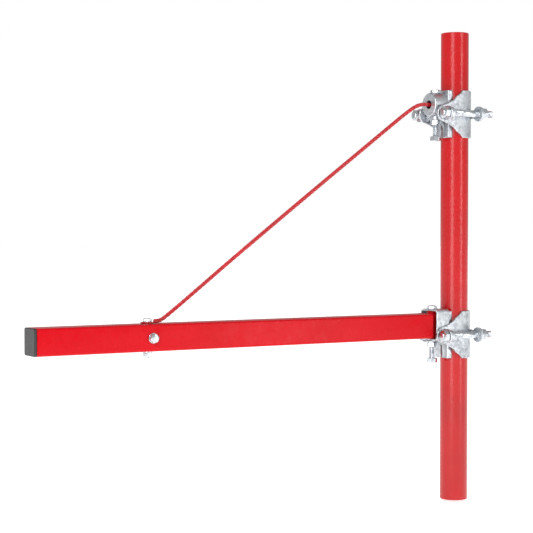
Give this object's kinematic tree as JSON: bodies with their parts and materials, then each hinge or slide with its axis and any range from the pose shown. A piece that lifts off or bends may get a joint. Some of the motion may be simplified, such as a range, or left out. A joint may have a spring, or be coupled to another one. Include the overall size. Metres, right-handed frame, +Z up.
{
  "type": "hoist support arm",
  "caption": "Square-tube hoist arm on a round post, held by a bolted box bracket and tied back by a rope to a second clamp higher up.",
  "frame": {"origin": "centre of the post's lower end", "axes": "+Z up along the post; -X out along the arm to its free end"},
  "size_m": [0.8385, 0.108, 0.815],
  "materials": {
    "post_red_paint": "hammered gloss",
    "arm_red_paint": "gloss",
    "rope_red_coating": "satin",
    "galvanised_plate": "galvanised, mottled",
    "zinc_fastener": "bright zinc",
    "black_plastic": "satin"
  },
  "bodies": {
    "post": {"post_tube": "post_red_paint"},
    "clamp_frame": {"lower_rear_saddle": "galvanised_plate", "lower_front_jaw": "galvanised_plate", "lower_rear_yoke": "galvanised_plate", "lower_near_lug": "galvanised_plate", "lower_near_stud": "zinc_fastener", "lower_near_front_washer": "zinc_fastener", "lower_near_front_nut": "zinc_fastener", "lower_near_rear_washer": "zinc_fastener", "lower_near_rear_nut": "zinc_fastener", "lower_far_lug": "galvanised_plate", "lower_far_stud": "zinc_fastener", "lower_far_front_washer": "zinc_fastener", "lower_far_front_nut": "zinc_fastener", "lower_far_rear_washer": "zinc_fastener", "lower_far_rear_nut": "zinc_fastener", "upper_rear_saddle": "galvanised_plate", "upper_front_jaw": "galvanised_plate", "upper_rear_yoke": "galvanised_plate", "upper_near_lug": "galvanised_plate", "upper_near_stud": "zinc_fastener", "upper_near_front_washer": "zinc_fastener", "upper_near_front_nut": "zinc_fastener", "upper_near_rear_washer": "zinc_fastener", "upper_near_rear_nut": "zinc_fastener", "upper_far_lug": "galvanised_plate", "upper_far_stud": "zinc_fastener", "upper_far_front_washer": "zinc_fastener", "upper_far_front_nut": "zinc_fastener", "upper_far_rear_washer": "zinc_fastener", "upper_far_rear_nut": "zinc_fastener", "lower_arm_bracket": "galvanised_plate", "lower_pivot_bolt": "zinc_fastener", "lower_pivot_washer": "zinc_fastener", "lower_pivot_nut": "zinc_fastener", "lower_pivot_end_nut": "zinc_fastener", "upper_rope_barrel": "galvanised_plate", "upper_barrel_disc": "galvanised_plate", "upper_pivot_bolt": "zinc_fastener", "upper_bolt_seat": "galvanised_plate", "upper_pivot_nut": "zinc_fastener", "upper_pivot_end_nut": "zinc_fastener", "rope_upper_eye": "rope_red_coating"},
    "arm": {"arm_tube": "arm_red_paint", "arm_end_cap": "black_plastic", "arm_end_plate": "arm_red_paint", "arm_pivot_bush": "arm_red_paint", "stay_rope": "rope_red_coating", "rope_lower_eye": "rope_red_coating", "anchor_bolt": "zinc_fastener", "anchor_washer": "zinc_fastener", "anchor_nut": "zinc_fastener", "anchor_cross_pin": "zinc_fastener", "anchor_near_bolt": "zinc_fastener", "anchor_near_washer": "zinc_fastener", "anchor_far_bolt": "zinc_fastener", "anchor_far_washer": "zinc_fastener"}
  },
  "joints": [
    {"name": "frame_slew", "type": "hinge", "parent": "post", "child": "clamp_frame", "pos_m": [0, 0, 0.29], "axis": [0, 0, 1], "continuous": true},
    {"name": "arm_swing", "type": "hinge", "parent": "clamp_frame", "child": "arm", "pos_m": [-0.048, 0, 0.3074], "axis": [0, 0, 1], "range_deg": [-9, 9]}
  ]
}
